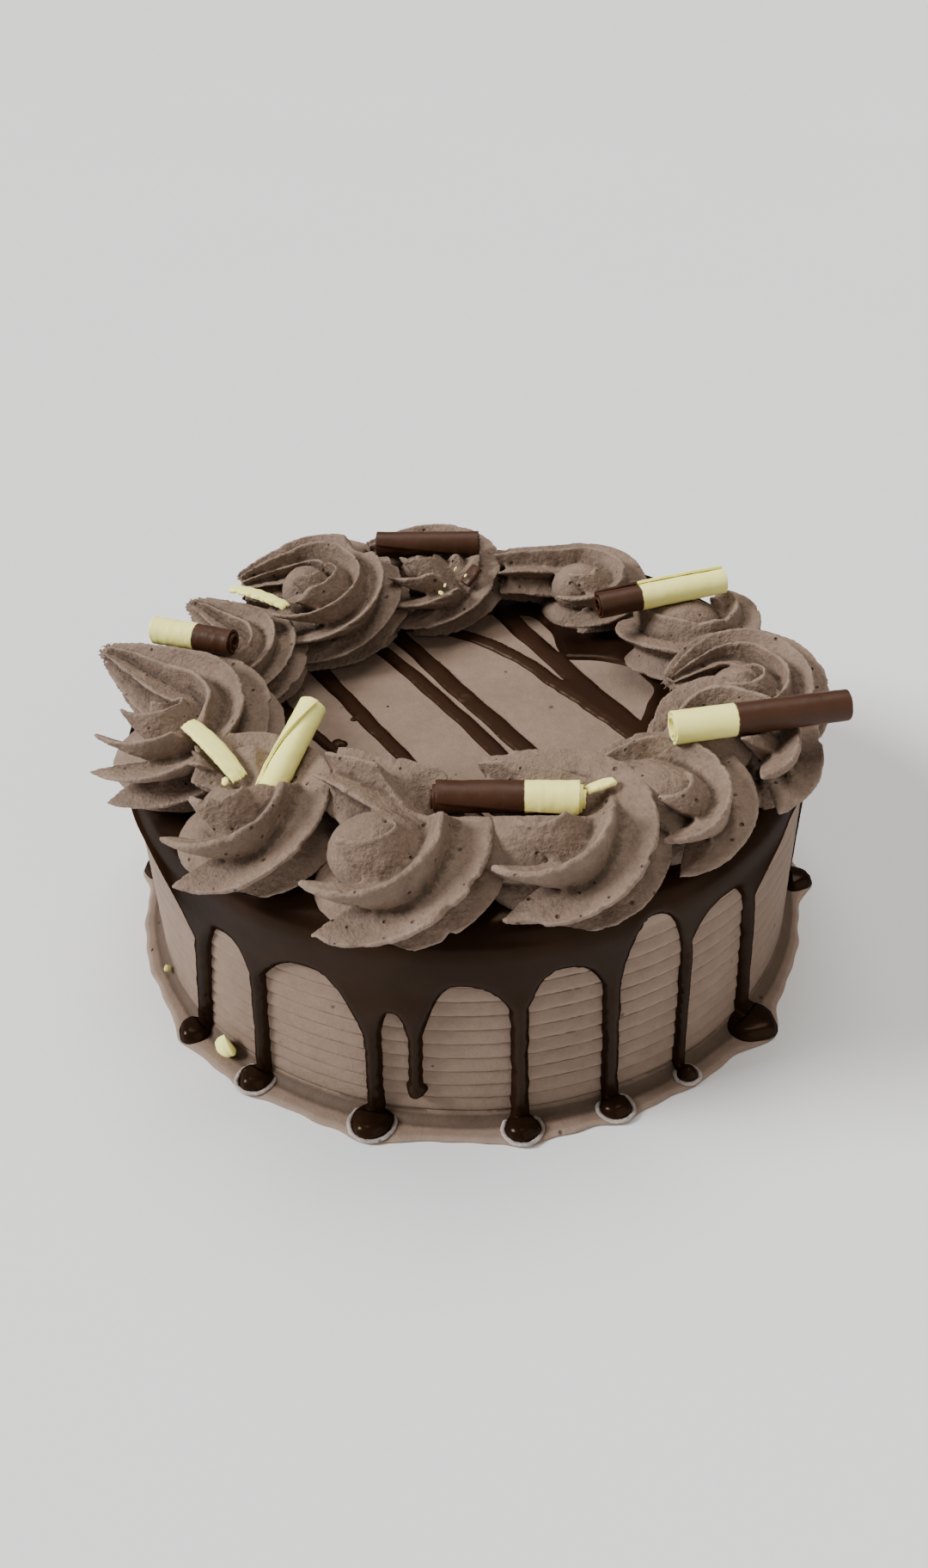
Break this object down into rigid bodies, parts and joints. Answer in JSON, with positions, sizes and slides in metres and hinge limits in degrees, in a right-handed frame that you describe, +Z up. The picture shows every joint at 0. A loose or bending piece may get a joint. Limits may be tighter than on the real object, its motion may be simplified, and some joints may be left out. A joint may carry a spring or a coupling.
{
  "type": "chocolate drip cake",
  "caption": "Round chocolate buttercream cake with a poured ganache drip, piped star rosettes, and rolled chocolate curls and shards on top.",
  "frame": {"origin": "middle of the flat base, on the surface the cake stands on", "axes": "+Z up; -Y towards the side that the picture shows in front; +X to its right"},
  "size_m": [0.219, 0.2198, 0.1006],
  "materials": {
    "cream": "matt, slightly rough whipped chocolate buttercream with fine air pits",
    "ganache": "glossy, nearly black poured chocolate glaze",
    "dark_chocolate": "satin milk and dark chocolate with fine streaks",
    "white_chocolate": "satin ivory white chocolate with fine streaks"
  },
  "bodies": {
    "root": {"cake": "cream", "ganache": "ganache", "rosette_01": "cream", "rosette_02": "cream", "rosette_03": "cream", "rosette_04": "cream", "rosette_05": "cream", "rosette_06": "cream", "rosette_07": "cream", "rosette_08": "cream", "rosette_09": "cream", "rosette_10": "cream", "rosette_11": "cream", "rosette_12": "cream", "curl_front": "dark_chocolate", "curl_right": "dark_chocolate", "curl_right_back": "dark_chocolate", "curl_back": "dark_chocolate", "curl_left": "dark_chocolate", "curl_white": "white_chocolate", "shard_left": "white_chocolate", "shard_back_left": "white_chocolate", "shard_front": "white_chocolate", "shard_brown": "dark_chocolate", "chip_white": "white_chocolate"}
  },
  "joints": []
}
